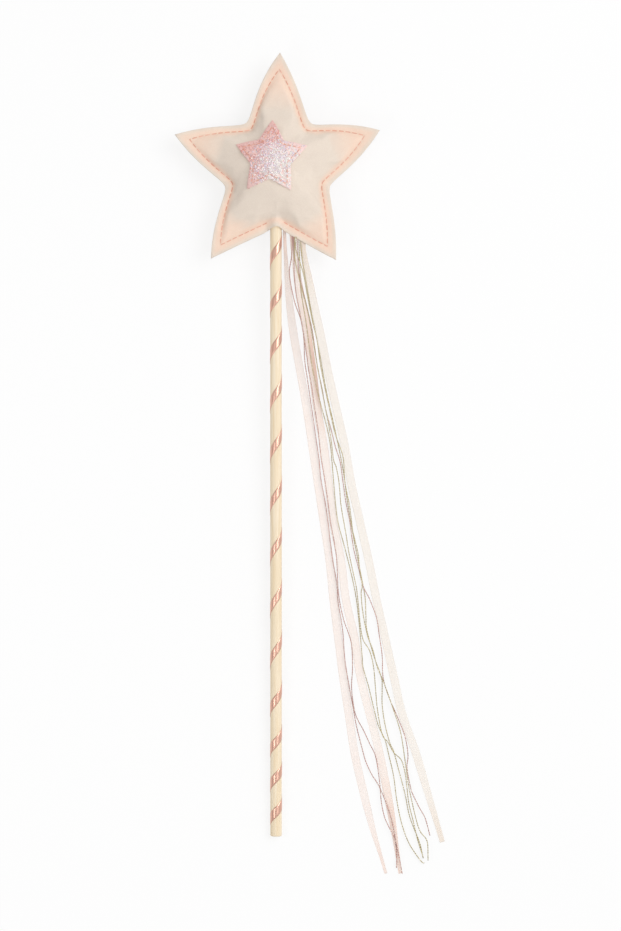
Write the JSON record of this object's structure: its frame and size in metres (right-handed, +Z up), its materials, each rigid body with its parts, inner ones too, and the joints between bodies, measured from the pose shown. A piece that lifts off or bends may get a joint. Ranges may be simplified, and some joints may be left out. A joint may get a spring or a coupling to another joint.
{
  "type": "toy magic wand",
  "caption": "Toy magic wand: a stuffed felt star on a foil-wound wooden stick, with a glitter star sewn on its front and ribbons and metallic threads sewn into its seam.",
  "frame": {"origin": "on the table, under the middle of the wand, half way between the star's top point and the stick's end", "axes": "+X to the right of the star, +Y from the stick's end to the star, +Z up from the table to the star's front"},
  "size_m": [0.1444, 0.4279, 0.0298],
  "materials": {
    "wood": "bare sanded softwood dowel",
    "foil": "glossy rose gold foil",
    "glue": "set hot-melt glue",
    "felt": "matte wool felt, cream with a peach border",
    "fill": "loose polyester fibre",
    "sewing_thread": "matte coral sewing thread",
    "glitter_cloth": "pink glitter cloth",
    "ribbon_pink": "sheer pale pink organza",
    "ribbon_peach": "sheer peach organza",
    "ribbon_cream": "sheer cream organza",
    "rose_yarn": "twisted metallic yarn, rose",
    "gold_yarn": "twisted metallic yarn, olive gold"
  },
  "bodies": {
    "wand": {"stick": "wood", "foil_spiral": "foil", "glue_collar": "glue", "front_panel": "felt", "back_panel": "felt", "stuffing": "fill", "seam_thread_front": "sewing_thread", "seam_thread_back": "sewing_thread", "glitter_star": "glitter_cloth", "glitter_thread": "sewing_thread", "streamer_ends": "ribbon_peach"},
    "left_streamer": {"left_ribbon": "ribbon_pink"},
    "middle_streamer": {"middle_ribbon": "ribbon_peach"},
    "right_streamer": {"right_ribbon": "ribbon_cream"},
    "thread_hank": {"rose_thread_1": "rose_yarn", "rose_thread_2": "rose_yarn", "rose_thread_3": "rose_yarn", "gold_thread_1": "gold_yarn", "gold_thread_2": "gold_yarn", "gold_thread_3": "gold_yarn", "gold_thread_4": "gold_yarn"}
  },
  "joints": [
    {"name": "left_ribbon_swing", "type": "hinge", "parent": "wand", "child": "left_streamer", "pos_m": [0.0045, 0.1113, 0.0119], "axis": [0, 0, 1], "range_deg": [-6, 30]},
    {"name": "middle_ribbon_swing", "type": "hinge", "parent": "wand", "child": "middle_streamer", "pos_m": [0.0085, 0.1096, 0.01225], "axis": [0, 0, 1], "range_deg": [-7, 30]},
    {"name": "right_ribbon_swing", "type": "hinge", "parent": "wand", "child": "right_streamer", "pos_m": [0.014, 0.1072, 0.0126], "axis": [0, 0, 1], "range_deg": [-8, 30]},
    {"name": "thread_swing", "type": "hinge", "parent": "wand", "child": "thread_hank", "pos_m": [0.0106, 0.1087, 0.0136], "axis": [0, 0, 1], "range_deg": [-8, 30]}
  ]
}
